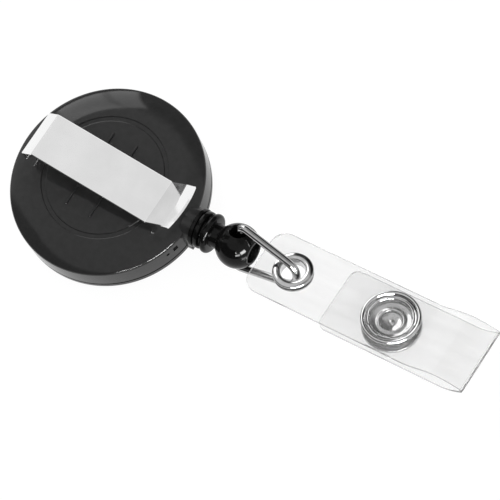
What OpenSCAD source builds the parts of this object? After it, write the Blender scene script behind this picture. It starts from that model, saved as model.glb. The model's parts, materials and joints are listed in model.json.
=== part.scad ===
// Retractable badge reel: a round two-shell case with a spring-driven cord spool,
// a folded steel belt clip, a ball end fitting, a wire link and a folded clear
// vinyl strap with an eyelet and a ring snap. Units are millimetres.
// The case lies on its front face at z = 0, its axis is Z through the origin,
// and the cord leaves along +X. The belt clip is on top, on the back of the case.

/* [Case] */
// Outer radius of the round case
case_r = 16; // [16:0.5:18]
// Height of the straight side wall below the domed back
rim_h = 5.6; // [5.4:0.1:6]
// Full thickness of the case at its flat raised middle
case_h = 7.06; // [6.9:0.01:7.5]
// Radius of the flat raised middle of the back
flat_r = 10.8; // [10.4:0.1:11.2]
// Wall thickness of both shells
wall = 1.2; // [1.1:0.05:1.3]
// Height of the seam between the front shell and the back shell
seam_z = 1.7; // [1.6:0.1:2.2]
// Height of the cord axis above the front face
axis_z = 3.9; // [3.8:0.05:4]
// Width of the arched cord outlet block
outlet_w = 5.8; // [5.4:0.1:6.4]

/* [Belt clip] */
// Width of the clip strip
clip_w = 7.8; // [7:0.1:9]
// Thickness of the clip steel
clip_t = 0.4; // [0.3:0.05:0.5]
// Turn of the clip and the ribs about the case axis, in degrees
clip_turn = -3.4; // [-6:0.1:6]
// Height of the leaf above the back at its folded end
clip_fold_h = 5.4; // [4.5:0.1:6]
// Height of the leaf above the back at its mouth bend
clip_mouth_h = 2.9; // [2.4:0.1:3.6]
// Rise of the turned-up lip
clip_lip_h = 5.7; // [4:0.1:6]
// Width of the clip's fixed tongue, under the leaf
clip_tongue_w = 5; // [4:0.1:6]

/* [Cord and spool] */
// Cord diameter
cord_d = 0.8; // [0.7:0.05:0.9]
// Radius of the drum floor that the cord winds on
drum_r = 10; // [9.8:0.1:10.2]
// Radius of the spool flanges
flange_r = 13.7; // [13.5:0.1:13.8]
// Turns of the return spring
spring_turns = 8; // [6:1:9]

/* [End fitting and link] */
// Distance from the case axis to the ball centre
ball_x = 24.1; // [24:0.1:25]
// Ball radius
ball_r = 3.6; // [3.5:0.05:3.7]
// Radius of the cross hole in the ball
cross_r = 1.3; // [1.25:0.05:1.4]
// Wire radius of the link
wire_r = 0.65; // [0.55:0.05:0.7]
// Turn of the cross hole about the cord, from flat towards upright, in degrees
link_turn = 65; // [55:1:75]
// Lean of the link in its own plane, in degrees
link_tilt = -5; // [-6:0.5:0]
// Distance from the ball centre to the middle of the link's round end
link_len = 10.8; // [10.6:0.1:11.4]

/* [Strap] */
// Strap width
strap_w = 11.6; // [11:0.1:12]
// Thickness of the vinyl
strap_t = 0.5; // [0.4:0.05:0.6]
// Start of the strap, measured from the case axis
strap_x0 = 28.2; // [28.1:0.1:28.5]
// Centre of the crease at the fold, measured from the case axis
fold_x = 66.7; // [66:0.1:70]
// Rise of the long layer's bow between the snap and the fold
bow_h = 1.2; // [1:0.1:1.5]
// Free edge of the flap, measured from the case axis
flap_x0 = 41.7; // [41:0.1:44]
// Height of the long layer's mid-plane above the front face
strap_z = 3.8; // [3.7:0.05:3.9]
// Roll of the strap about its length, in degrees
strap_roll = -12; // [-13:0.5:-9]
// Distance between the mid-planes of the two layers
fold_gap = 1.5; // [1.4:0.05:1.6]
// Position of the eyelet, measured from the case axis
eyelet_x = 34.2; // [34.1:0.1:34.4]
// Position of the snap, measured from the case axis
snap_x = 51.7; // [50:0.1:54]

/* [Hidden] */
$fn = 64;
eps = 0.01;
play = 0.02;
arc_steps = 24;

plastic_black = [0.12, 0.12, 0.13];
plastic_grey = [0.55, 0.55, 0.57];
steel = [0.8, 0.8, 0.82];
cord_black = [0.05, 0.05, 0.05];
vinyl = [0.9, 0.93, 0.94, 0.5];

// back dome: an arc that starts level at flat_r and ends in the rounded rim
rim_round = 0.45;
dome_run = 5;
dome_drop = case_h - rim_h;
dome_r = (dome_run * dome_run + dome_drop * dome_drop) / (2 * dome_drop);
dome_z = case_h - dome_r;
rim_cr = case_r - rim_round;
rim_cz = dome_z + sqrt(pow(dome_r - rim_round, 2) - pow(rim_cr - flat_r, 2));
rim_a = atan2(rim_cz - dome_z, rim_cr - flat_r);
inner_dome_r = dome_r - wall;
inner_r = case_r - wall;
inner_rim_z = dome_z + sqrt(pow(inner_dome_r, 2) - pow(inner_r - flat_r, 2));
ceiling_z = case_h - wall;
inner_a = atan2(inner_rim_z - dome_z, inner_r - flat_r);

// ring groove and ribs on the flat back
ring_r0 = 9.7;
ring_r1 = 10.35;
ring_deep = 0.15;
rib_gap = 4.65;
rib_mid_x = -0.6;
rib_w = 0.35;
rib_h = 0.3;
rib_start = 3.2;
rib_end = 6.9;

// front shell
front_round = 0.8;
floor_t = 1.2;
lip_t = 0.5;
lip_top = 2.5;
label_r = 11;
label_line = 0.4;
label_deep = 0.2;
arbor_r = 1.9;
arbor_top = 5;
slot_w = 0.5;
slot_bottom = 2.3;

// cord outlet block, bush and side-wall marks
block_x0 = 14.9;
block_x1 = 16.7;
block_bottom = 0.5;
outlet_bore_r = 1.6;
bush_x0 = 14.35;
bush_x1 = 17.4;
bush_flange_r = 3.2;
bush_flange_x = 16.75;
cord_hole_r = 0.6;
window_a = -17;
window_w = 0.9;
window_h = 1.1;
mark_a = -22.5;
mark_r = 0.3;
mark_deep = 0.25;

// clip path in the clip's own plane
clip_base_z = case_h + clip_t / 2;
clip_tail_x = 6;
clip_low_x = -11.5;
clip_back_x = -12.6;
clip_back_z0 = case_h + 1.3;
clip_back_z1 = case_h + 3.2;
clip_neck_x = -12.3;
clip_fold_x = -10;
clip_mouth_x = 11.5;
clip_tip_x = 17.9;
clip_gap = 0.1;
clip_end_r = 8.5;
clip_cut_z = (clip_back_z0 + clip_back_z1) / 2;

// clip rivet
rivet_r = 1;
rivet_head_r = 1.8;
rivet_head_h = 0.7;
rivet_tail_r = 1.5;
rivet_tail_h = 0.25;
washer_r = 2.2;
washer_t = 0.3;

// spool
spool_z0 = 1.5;
web_t = 0.5;
groove_h = 2.5;
groove_z0 = spool_z0 + web_t;
groove_z1 = groove_z0 + groove_h;
spool_top = groove_z1 + web_t;
hub_t = 0.8;
bore_play = 0.08;
cover_t = 0.3;
cover_r = 9.8;
cover_hole_r = 2.7;
cord_r = cord_d / 2;
cord_layers_r = 12.7;
cord_mid_z = groove_z0 + groove_h / 2;
anchor_a = 200;
anchor_r = 0.45;

// return spring
spring_t = 0.15;
spring_z0 = 2.3;
spring_h = 2.4;
spring_r0 = 2.4;
spring_r1 = 8;
spring_steps = 20;
tang_r = 0.6;

// cord lead between the winding and the outlet
lead_x = 14.8;
lead_far = sqrt(lead_x * lead_x - cord_layers_r * cord_layers_r);
lead_a = acos(cord_layers_r / lead_x);
lead_near = 5.1;
lead_free = (lead_far - lead_near) / lead_far;
touch_x = cord_layers_r * cos(lead_a);
touch_y = cord_layers_r * sin(lead_a);

// end fitting
fit_x0 = 17.5;
disc1_x1 = 18.3;
disc1_r = 3.1;
groove1_x1 = 18.75;
groove1_r = 2.4;
disc2_x1 = 19.9;
disc2_r = 3.3;
disc2_round = 0.5;
neck_r = 2;
ball_flat = 2.9;
fit_bore_r = 0.55;
mouth_deep = 0.5;
mouth_r = 1.75;
tail_x0 = 17.43;
knot_r = 0.9;

// wire link in its own plane
leg_a = 14.5;
bend_r = 0.9;
bend_swell = 0.01;
stub_q0 = 2.1;
stub_q1 = 3.6;
bend_end_x = bend_r + bend_r * cos(90 - leg_a);
bend_end_y = stub_q1 + bend_r * sin(90 - leg_a);
leg_n = sin(leg_a) * bend_end_x + cos(leg_a) * bend_end_y;
apex_r = (leg_n - sin(leg_a) * link_len) / (1 - sin(leg_a));
apex_x = link_len - apex_r;
leg_end_x = apex_x + apex_r * sin(leg_a);
leg_end_y = apex_r * cos(leg_a);
leg_len = norm([leg_end_x - bend_end_x, leg_end_y - bend_end_y]);

// strap, eyelet and snap
corner_r = 2.5;
flap_corner_r = 1.4;
// the long layer bows up past the snap, and both layers meet in a tight crease
ring_clear = 0.15;
bow_lap = 1;
bow_steps = 10;
bow_top_x = 62.8;
flap_top_x = 63.4;
crease_r = 0.45;
crease_n = 0.15;
crease_up_a = 76;
crease_down_a = 61;
// angle left open between the two halves of the crease
fold_open = 8;
eyelet_hole_r = 1.95;
barrel_r = 2.25;
eyelet_flange_r = 3.2;
eyelet_round = 0.35;
eyelet_washer_t = 0.3;
eyelet_curl_r = 2.75;
eyelet_curl_t = 0.3;
ring_out_r = 4.75;
ring_in_r = 3.2;
ring_t = 0.75;
prong_r = 3.55;
prong_w = 0.9;
prong_count = 5;
prong_t = 0.3;
stud_t = 0.28;
stud_r = 1.9;
stud_wall = 0.22;
pip_r = 0.45;
stud_len = 0.85;
socket_t = 0.62;
socket_hole_r = 2.12;
socket_groove_r = 2.6;
socket_spring_r = 0.15;
socket_spring_mid = 2.2;
bow_x0 = snap_x + ring_out_r + ring_clear;
crease_up_x = fold_x + crease_r * cos(crease_up_a);
crease_up_n = crease_n + crease_r * sin(crease_up_a);
crease_down_x = fold_x + crease_r * cos(crease_down_a);
crease_down_n = crease_n - crease_r * sin(crease_down_a);

// points of an arc from angle a0 to a1
function arc(cx, cy, r, a0, a1, n) =
    [for (i = [0 : n]) [cx + r * cos(a0 + (a1 - a0) * i / n), cy + r * sin(a0 + (a1 - a0) * i / n)]];

// unit normal on the left of the line from a to b
function side(a, b) = [a[1] - b[1], b[0] - a[0]] / norm(b - a);

// offset of path point i by d, mitred at the corners
function mitre(p, i, d) =
    let (last = len(p) - 1,
         n1 = side(p[max(i - 1, 0)], p[max(i, 1)]),
         n2 = side(p[min(i, last - 1)], p[min(i + 1, last)]))
    p[i] + (n1 + n2) * d / (1 + n1 * n2);

// outline of a strip of thickness t along path p
function strip(p, t) = concat(
    [for (i = [0 : len(p) - 1]) mitre(p, i, t / 2)],
    [for (i = [len(p) - 1 : -1 : 0]) mitre(p, i, -t / 2)]);

// draws a side profile, given in length and height, across a width
module across(w) {
    rotate([90, 0, 0])
        linear_extrude(w, center = true)
            children();
}

// cylinder of radius r along +X from x0 to x1 on the cord axis
module rod_x(x0, x1, r) {
    translate([x0, 0, axis_z])
        rotate([0, 90, 0])
            cylinder(r = r, h = x1 - x0);
}

module in_clip() {
    rotate([0, 0, clip_turn])
        children();
}

module in_strap() {
    translate([0, 0, strap_z])
        rotate([strap_roll, 0, 0])
            children();
}

module at_ball() {
    translate([ball_x, 0, axis_z])
        rotate([link_turn, 0, 0])
            children();
}

// outer profile of the domed back, from the seam up
module back_outside() {
    polygon(concat(
        [[0, seam_z], [case_r, seam_z]],
        arc(rim_cr, rim_cz, rim_round, 0, rim_a, arc_steps / 4),
        arc(flat_r, dome_z, dome_r, rim_a, 90, arc_steps),
        [[0, case_h]]));
}

module back_inside() {
    polygon(concat(
        [[0, seam_z - eps], [inner_r, seam_z - eps]],
        arc(flat_r, dome_z, inner_dome_r, inner_a, 90, arc_steps),
        [[0, ceiling_z]]));
}

module side_marks() {
    rotate([0, 0, window_a])
        translate([case_r - mark_deep, -window_w / 2, axis_z - window_h / 2])
            cube([wall, window_w, window_h]);
    rotate([0, 0, mark_a])
        translate([case_r - mark_deep, 0, axis_z])
            rotate([0, 90, 0])
                cylinder(r = mark_r, h = wall);
}

module ribs() {
    in_clip()
        for (sx = [-1, 1], sy = [-1, 1])
            translate([rib_mid_x + sx * rib_gap / 2 - rib_w / 2,
                       sy * (rib_start + rib_end) / 2 - (rib_end - rib_start) / 2,
                       case_h - eps])
                cube([rib_w, rib_end - rib_start, rib_h + eps]);
}

// upper part of the cord outlet block, round over the cord
module outlet_arch() {
    translate([block_x0, 0, 0])
        rotate([90, 0, 90])
            linear_extrude(block_x1 - block_x0)
                polygon(concat(
                    [[-outlet_w / 2, seam_z], [outlet_w / 2, seam_z]],
                    arc(0, axis_z, outlet_w / 2, 0, 180, arc_steps)));
}

module back_shell() {
    color(plastic_black)
        difference() {
            union() {
                rotate_extrude()
                    back_outside();
                ribs();
                outlet_arch();
            }
            rotate_extrude()
                back_inside();
            rotate_extrude()
                translate([ring_r0, case_h - ring_deep])
                    square([ring_r1 - ring_r0, wall]);
            rod_x(inner_r - wall, block_x1 + eps, outlet_bore_r + play);
            translate([0, 0, ceiling_z - eps])
                cylinder(r = rivet_r + play, h = wall + 2 * eps);
            side_marks();
        }
}

module front_profile() {
    polygon(concat(
        [[0, 0]],
        arc(case_r - front_round, front_round, front_round, -90, 0, arc_steps / 3),
        [[case_r, seam_z], [inner_r - play, seam_z], [inner_r - play, lip_top],
         [inner_r - lip_t, lip_top], [inner_r - lip_t, floor_t], [0, floor_t]]));
}

module front_shell() {
    color(plastic_black)
        difference() {
            union() {
                rotate_extrude()
                    front_profile();
                cylinder(r = arbor_r, h = arbor_top);
                translate([block_x0, -outlet_w / 2, block_bottom])
                    cube([block_x1 - block_x0, outlet_w, seam_z - block_bottom]);
            }
            translate([-arbor_r - eps, -slot_w / 2, slot_bottom])
                cube([2 * arbor_r + 2 * eps, slot_w, arbor_top]);
            rotate_extrude()
                translate([label_r - label_line, -eps])
                    square([label_line, label_deep + eps]);
            rod_x(0, block_x1 + eps, outlet_bore_r + play);
        }
}

module outlet_bush() {
    color(plastic_black)
        difference() {
            union() {
                rod_x(bush_x0, bush_x1, outlet_bore_r);
                rod_x(bush_flange_x, bush_x1, bush_flange_r);
            }
            rod_x(bush_x0 - eps, bush_x1 + eps, cord_hole_r);
            translate([bush_x0 - eps, 0, axis_z])
                rotate([0, 90, 0])
                    cylinder(r1 = outlet_bore_r - cord_r / 2, r2 = cord_hole_r, h = wall);
        }
}

function clip_base_path() = [
    [clip_tail_x, clip_base_z],
    [clip_low_x, clip_base_z],
    [clip_back_x, clip_back_z0],
    [clip_back_x, clip_cut_z - clip_gap / 2]];

function clip_leaf_path() = [
    [clip_back_x, clip_cut_z + clip_gap / 2],
    [clip_back_x, clip_back_z1],
    [clip_fold_x, case_h + clip_fold_h],
    [clip_mouth_x, case_h + clip_mouth_h],
    [clip_tip_x, case_h + clip_mouth_h + clip_lip_h]];

module clip_base() {
    color(steel)
        in_clip()
            difference() {
                intersection() {
                    across(clip_w)
                        polygon(strip(clip_base_path(), clip_t));
                    union() {
                        translate([2 * clip_back_x, -clip_w, 0])
                            cube([clip_neck_x - 2 * clip_back_x, 2 * clip_w, 2 * case_h]);
                        translate([clip_neck_x - eps, -clip_tongue_w / 2, 0])
                            cube([case_r, clip_tongue_w, 2 * case_h]);
                    }
                }
                cylinder(r = rivet_r + play, h = 2 * case_h);
            }
}

module clip_leaf() {
    color(steel)
        in_clip()
            intersection() {
                across(clip_w)
                    polygon(strip(clip_leaf_path(), clip_t));
                union() {
                    translate([2 * clip_back_x, -clip_w, 0])
                        cube([clip_mouth_x + eps - 2 * clip_back_x, 2 * clip_w, 4 * case_h]);
                    translate([clip_tip_x - clip_end_r, 0, 0])
                        cylinder(r = clip_end_r, h = 4 * case_h);
                }
            }
}

module clip_rivet() {
    head_z = case_h + clip_t;
    tail_z = ceiling_z - washer_t;
    color(steel) {
        translate([0, 0, tail_z])
            cylinder(r = rivet_r, h = head_z - tail_z);
        translate([0, 0, head_z])
            cylinder(r = rivet_head_r, h = rivet_head_h);
        translate([0, 0, tail_z - rivet_tail_h])
            cylinder(r = rivet_tail_r, h = rivet_tail_h);
    }
}

module rivet_washer() {
    color(steel)
        translate([0, 0, ceiling_z - washer_t])
            difference() {
                cylinder(r = washer_r, h = washer_t);
                translate([0, 0, -eps])
                    cylinder(r = rivet_r + play, h = washer_t + 2 * eps);
            }
}

module spool() {
    color(plastic_grey)
        difference() {
            rotate_extrude()
                polygon([[arbor_r + bore_play, spool_z0], [flange_r, spool_z0],
                         [flange_r, groove_z0], [drum_r, groove_z0],
                         [drum_r, groove_z1], [flange_r, groove_z1],
                         [flange_r, spool_top], [drum_r - hub_t, spool_top],
                         [drum_r - hub_t, groove_z0], [arbor_r + bore_play, groove_z0]]);
            rotate([0, 0, anchor_a])
                translate([drum_r - 2 * hub_t, 0, cord_mid_z])
                    rotate([0, 90, 0])
                        cylinder(r = cord_r + play, h = 3 * hub_t);
        }
}

module spring_cover() {
    color(steel)
        translate([0, 0, spool_top])
            difference() {
                cylinder(r = cover_r, h = cover_t);
                translate([0, 0, -eps])
                    cylinder(r = cover_hole_r, h = cover_t + 2 * eps);
            }
}

module cord_winding() {
    half = groove_h / 2 - 2 * play;
    color(cord_black)
        rotate_extrude()
            union() {
                translate([drum_r + play, cord_mid_z - half])
                    square([cord_layers_r - drum_r, 2 * half]);
                for (i = [-1 : 1])
                    translate([cord_layers_r, cord_mid_z + i * cord_d])
                        circle(r = cord_r);
            }
}

module cord_anchor() {
    color(cord_black)
        rotate([0, 0, anchor_a])
            translate([drum_r - hub_t - anchor_r, 0, cord_mid_z]) {
                sphere(r = anchor_r);
                rotate([0, 90, 0])
                    cylinder(r = cord_r, h = hub_t + anchor_r);
            }
}

function spring_path() = concat(
    [[tang_r, 0]],
    [for (i = [0 : spring_turns * spring_steps])
        let (r = spring_r0 + (spring_r1 - spring_r0) * i / (spring_turns * spring_steps),
             a = i * 360 / spring_steps)
        [r * cos(a), r * sin(a)]],
    [for (i = [1 : 3])
        let (r = spring_r1 + (drum_r - hub_t - spring_t - spring_r1) * i / 3,
             a = i * 360 / spring_steps)
        [r * cos(a), r * sin(a)]]);

module spiral_spring() {
    color(steel)
        translate([0, 0, spring_z0])
            linear_extrude(spring_h)
                polygon(strip(spring_path(), spring_t));
}

module cord_inner_lead() {
    mid_x = touch_x + (lead_x - touch_x) * (1 - lead_free);
    mid_y = touch_y * lead_free;
    mid_z = cord_mid_z + (axis_z - cord_mid_z) * (1 - lead_free);
    run = [lead_x - mid_x, -mid_y, axis_z - mid_z];
    color(cord_black) {
        translate([mid_x, mid_y, mid_z])
            rotate([0, acos(run[2] / norm(run)), atan2(run[1], run[0])])
                cylinder(r = cord_r, h = norm(run));
        translate([lead_x, 0, axis_z])
            sphere(r = cord_r + play);
        rod_x(lead_x, bush_x1 - play, cord_r);
    }
}

module cord_tail() {
    color(cord_black)
        rod_x(tail_x0, ball_x - knot_r, cord_r);
}

module cord_knot() {
    color(cord_black)
        difference() {
            translate([ball_x, 0, axis_z])
                sphere(r = knot_r);
            rod_x(ball_x - 2 * knot_r, ball_x - knot_r, cord_r + play);
        }
}

// outer profile of the end fitting: distance along the cord from fit_x0, then radius
module fitting_profile() {
    flange_mid = disc2_x1 - fit_x0 - disc2_round;
    polygon(concat(
        [[0, 0], [0, disc1_r], [disc1_x1 - fit_x0, disc1_r], [disc1_x1 - fit_x0, groove1_r],
         [groove1_x1 - fit_x0, groove1_r]],
        arc(flange_mid, disc2_r - disc2_round, disc2_round, 180, 0, arc_steps / 3),
        [[disc2_x1 - fit_x0, neck_r]],
        arc(ball_x - fit_x0, 0, ball_r, 180 - asin(neck_r / ball_r), acos(ball_flat / ball_r), arc_steps),
        [[ball_x + ball_flat - fit_x0, 0]]));
}

module end_fitting() {
    color(plastic_black)
        difference() {
            translate([fit_x0, 0, axis_z])
                rotate([0, 90, 0])
                    rotate_extrude()
                        rotate([0, 0, 90])
                            mirror([0, 1])
                                fitting_profile();
            rod_x(fit_x0 - eps, ball_x, fit_bore_r);
            at_ball()
                rotate([90, 0, 0])
                    cylinder(r = cross_r, h = 3 * ball_r, center = true);
            for (s = [-90, 90])
                at_ball()
                    rotate([s, 0, 0])
                        translate([0, 0, ball_r - mouth_deep])
                            cylinder(r1 = cross_r - play, r2 = mouth_r, h = mouth_deep);
        }
}

// half of the link: stub, bend and leg on the +q side
module link_half() {
    translate([0, stub_q0, 0])
        rotate([-90, 0, 0])
            cylinder(r = wire_r, h = stub_q1 - stub_q0 + eps);
    translate([bend_r, stub_q1, 0])
        rotate([0, 0, 90 - leg_a])
            rotate_extrude(angle = 90 + leg_a)
                translate([bend_r, 0])
                    circle(r = wire_r + bend_swell);
    translate([bend_end_x, bend_end_y, 0])
        rotate([0, 0, -leg_a])
            translate([-eps, 0, 0])
                rotate([0, 90, 0])
                    cylinder(r = wire_r, h = leg_len + 2 * eps);
}

module wire_link() {
    color(steel)
        at_ball()
            rotate([0, 0, link_tilt]) {
                link_half();
                rotate([180, 0, 0])
                    link_half();
                translate([apex_x, 0, 0])
                    rotate([0, 0, leg_a - 90])
                        rotate_extrude(angle = 180 - 2 * leg_a)
                            translate([apex_r, 0])
                                circle(r = wire_r + bend_swell);
            }
}

// flat sheet from x0 to x1 with rounded corners at its x0 end
module sheet(x0, x1, r) {
    translate([0, 0, -strap_t / 2])
        union() {
            translate([x0 + r, -strap_w / 2, 0])
                cube([x1 - x0 - r, strap_w, strap_t]);
            translate([x0, r - strap_w / 2, 0])
                cube([r + eps, strap_w - 2 * r, strap_t]);
            for (s = [-1, 1])
                translate([x0 + r, s * (strap_w / 2 - r), 0])
                    cylinder(r = r, h = strap_t);
        }
}

module prong_holes(z) {
    for (i = [0 : prong_count - 1])
        rotate([0, 0, i * 360 / prong_count])
            translate([prong_r - prong_t / 2 - play, -prong_w / 2 - play, z - strap_t])
                cube([prong_t + 2 * play, prong_w + 2 * play, 2 * strap_t]);
}

// quarter-cosine run from a level start at [x0, n0] to [x1, n1]
function dive(x0, n0, x1, n1) =
    [for (i = [1 : bow_steps])
        [x0 + (x1 - x0) * i / bow_steps, n0 + (n1 - n0) * (1 - cos(90 * i / bow_steps))]];

function bow_path() = concat(
    [[bow_x0 - bow_lap, 0]],
    [for (i = [0 : bow_steps])
        [bow_x0 + (bow_top_x - bow_x0) * i / bow_steps, bow_h * (1 - cos(180 * i / bow_steps)) / 2]],
    dive(bow_top_x, bow_h, crease_up_x, crease_up_n),
    arc(fold_x, crease_n, crease_r, crease_up_a - fold_open, fold_open / 2, bow_steps / 2));

function under_path() = concat(
    [[bow_x0 - bow_lap, -fold_gap], [flap_top_x, -fold_gap]],
    dive(flap_top_x, -fold_gap, crease_down_x, crease_down_n),
    arc(fold_x, crease_n, crease_r, fold_open - crease_down_a, -fold_open / 2, bow_steps / 2));

module strap_leg() {
    color(vinyl)
        in_strap()
            difference() {
                union() {
                    sheet(strap_x0, bow_x0 - bow_lap / 2, corner_r);
                    across(strap_w)
                        polygon(strip(bow_path(), strap_t));
                }
                translate([eyelet_x, 0, -strap_t])
                    cylinder(r = barrel_r + play, h = 2 * strap_t);
                translate([snap_x, 0, 0])
                    prong_holes(0);
            }
}

module strap_flap() {
    color(vinyl)
        in_strap()
            difference() {
                union() {
                    translate([0, 0, -fold_gap])
                        sheet(flap_x0, bow_x0 - bow_lap / 2, flap_corner_r);
                    across(strap_w)
                        polygon(strip(under_path(), strap_t));
                }
                translate([snap_x, 0, -fold_gap])
                    prong_holes(0);
            }
}

module eyelet() {
    top = strap_t / 2;
    color(steel)
        in_strap()
            translate([eyelet_x, 0, 0])
                rotate_extrude()
                    polygon(concat(
                        [[eyelet_hole_r, -top - eyelet_washer_t - eyelet_curl_t]],
                        [[eyelet_curl_r, -top - eyelet_washer_t - eyelet_curl_t]],
                        [[eyelet_curl_r, -top - eyelet_washer_t]],
                        [[barrel_r, -top - eyelet_washer_t], [barrel_r, top], [eyelet_flange_r, top]],
                        arc(eyelet_flange_r - eyelet_round, top + eyelet_round, eyelet_round, 0, 90,
                            arc_steps / 4),
                        arc(eyelet_hole_r + eyelet_round, top + eyelet_round, eyelet_round, 90, 180,
                            arc_steps / 4)));
}

module eyelet_washer() {
    color(steel)
        in_strap()
            translate([eyelet_x, 0, -strap_t / 2 - eyelet_washer_t])
                difference() {
                    cylinder(r = eyelet_flange_r, h = eyelet_washer_t);
                    translate([0, 0, -eps])
                        cylinder(r = barrel_r + play, h = eyelet_washer_t + 2 * eps);
                }
}

// open prong ring: rounded ring above z = 0 and prongs that pass down through the sheet
module prong_ring() {
    rotate_extrude()
        polygon(concat(
            [[ring_in_r, 0], [ring_out_r, 0]],
            arc(ring_out_r - ring_t / 2, ring_t / 2, ring_t / 2, 0, 90, arc_steps / 4),
            arc(ring_in_r + ring_t / 2, ring_t / 2, ring_t / 2, 90, 180, arc_steps / 4)));
    for (i = [0 : prong_count - 1])
        rotate([0, 0, i * 360 / prong_count])
            translate([prong_r - prong_t / 2, -prong_w / 2, -strap_t])
                cube([prong_t, prong_w, strap_t + ring_t / 2]);
}

module snap_stud_ring() {
    color(steel)
        in_strap()
            translate([snap_x, 0, strap_t / 2])
                prong_ring();
}

module snap_stud() {
    color(steel)
        in_strap()
            translate([snap_x, 0, -strap_t / 2])
                rotate_extrude()
                    polygon([[0, -stud_len], [stud_r, -stud_len], [stud_r, -stud_t],
                             [prong_r - prong_t, -stud_t], [prong_r - prong_t, 0],
                             [stud_r - stud_wall, 0], [stud_r - stud_wall, stud_wall - stud_len],
                             [pip_r, stud_wall - stud_len], [pip_r, 2 * stud_wall - stud_len],
                             [0, 2 * stud_wall - stud_len]]);
}

module snap_socket() {
    mid = socket_t / 2;
    color(steel)
        in_strap()
            translate([snap_x, 0, strap_t / 2 - fold_gap])
                difference() {
                    rotate_extrude()
                        polygon([[socket_hole_r, 0], [prong_r - prong_t, 0],
                                 [prong_r - prong_t, socket_t], [socket_hole_r, socket_t]]);
                    translate([0, 0, mid - socket_spring_r - play])
                        cylinder(r = socket_groove_r, h = 2 * (socket_spring_r + play));
                }
}

module snap_socket_ring() {
    color(steel)
        in_strap()
            translate([snap_x, 0, -strap_t / 2 - fold_gap])
                mirror([0, 0, 1])
                    prong_ring();
}

module snap_socket_spring() {
    color(steel)
        in_strap()
            translate([snap_x, 0, strap_t / 2 - fold_gap + socket_t / 2])
                rotate_extrude()
                    translate([socket_spring_mid, 0])
                        circle(r = socket_spring_r);
}

back_shell();
front_shell();
outlet_bush();
clip_base();
clip_leaf();
clip_rivet();
rivet_washer();
spool();
spring_cover();
cord_winding();
cord_anchor();
spiral_spring();
cord_inner_lead();
cord_tail();
cord_knot();
end_fitting();
wire_link();
strap_leg();
strap_flap();
eyelet();
eyelet_washer();
snap_stud_ring();
snap_stud();
snap_socket();
snap_socket_ring();
snap_socket_spring();
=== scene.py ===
"""Looks of the retractable badge reel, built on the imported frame. Lengths in the helpers are millimetres."""

import json
import math

import bmesh
import bpy
from mathutils import Matrix, Vector


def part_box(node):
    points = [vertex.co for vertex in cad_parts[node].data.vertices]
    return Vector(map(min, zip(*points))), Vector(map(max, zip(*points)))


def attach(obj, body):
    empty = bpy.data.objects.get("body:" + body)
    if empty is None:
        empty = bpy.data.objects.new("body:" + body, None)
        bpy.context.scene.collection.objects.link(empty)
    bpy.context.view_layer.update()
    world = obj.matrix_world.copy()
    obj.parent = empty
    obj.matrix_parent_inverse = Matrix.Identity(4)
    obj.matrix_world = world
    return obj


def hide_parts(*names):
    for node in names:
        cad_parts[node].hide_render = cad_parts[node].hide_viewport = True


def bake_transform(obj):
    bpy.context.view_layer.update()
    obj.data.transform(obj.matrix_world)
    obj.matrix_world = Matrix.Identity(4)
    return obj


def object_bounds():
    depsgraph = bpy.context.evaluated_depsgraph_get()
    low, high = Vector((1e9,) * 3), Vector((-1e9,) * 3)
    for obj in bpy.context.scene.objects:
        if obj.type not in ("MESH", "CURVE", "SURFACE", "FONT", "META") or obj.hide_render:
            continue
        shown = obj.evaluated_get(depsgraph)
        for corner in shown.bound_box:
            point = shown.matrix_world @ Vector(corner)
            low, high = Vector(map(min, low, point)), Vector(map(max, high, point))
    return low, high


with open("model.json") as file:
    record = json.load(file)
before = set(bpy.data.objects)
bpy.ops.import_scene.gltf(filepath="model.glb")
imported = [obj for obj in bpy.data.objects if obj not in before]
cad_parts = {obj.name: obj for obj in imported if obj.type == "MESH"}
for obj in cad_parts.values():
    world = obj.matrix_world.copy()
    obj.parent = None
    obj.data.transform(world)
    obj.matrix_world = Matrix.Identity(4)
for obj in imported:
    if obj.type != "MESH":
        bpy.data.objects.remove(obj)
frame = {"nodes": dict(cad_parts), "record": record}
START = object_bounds()

MM = 0.001

# ---------------------------------------------------------------- places, from the frame


def centre(node):
    """Middle of a CAD node's box, in millimetres."""
    lo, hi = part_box(node)
    return [(a + b) / 2 / MM for a, b in zip(lo, hi)]


def low(node):
    """Lower corner of a CAD node's box, in millimetres."""
    return [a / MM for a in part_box(node)[0]]


def high(node):
    """Upper corner of a CAD node's box, in millimetres."""
    return [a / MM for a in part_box(node)[1]]


CASE_R = -low("back_shell")[0]
CASE_H = 7.06
RIM_H = 5.6
SEAM_Z = 1.7
WALL = 1.2
FLAT_R = 10.8

CORD_Z = centre("cord_knot")[2]
BALL_X = centre("cord_knot")[0]
BUSH_X0 = low("outlet_bush")[0]
BUSH_X1 = high("outlet_bush")[0]
FIT_X0 = low("end_fitting")[0]
LINK_TURN = math.radians(65)
LINK_TILT = math.radians(-5)

CLIP_W = 7.8
CLIP_T = 0.4
CLIP_TURN = math.radians(-3.4)

STRAP_ROLL = math.radians(-12)
STRAP_Z = 3.8
STRAP_X0 = low("strap_leg")[0]
STRAP_X1 = high("strap_leg")[0]
FLAP_X0 = low("strap_flap")[0]
STRAP_W = 11.6
STRAP_T = 0.5
FOLD_GAP = 1.5
EYELET_X = centre("eyelet")[0]
SNAP_X = centre("snap_stud_ring")[0]

CLIP_FRAME = Matrix.Rotation(CLIP_TURN, 4, "Z")
STRAP_FRAME = Matrix.Translation((0, 0, STRAP_Z)) @ Matrix.Rotation(STRAP_ROLL, 4, "X")
HOLE_FRAME = Matrix.Translation((BALL_X, 0, CORD_Z)) @ Matrix.Rotation(LINK_TURN, 4, "X")
LINK_FRAME = HOLE_FRAME @ Matrix.Rotation(LINK_TILT, 4, "Z")
CORD_FRAME = Matrix.Translation((0, 0, CORD_Z)) @ Matrix.Rotation(math.radians(90), 4, "Y")

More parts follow.
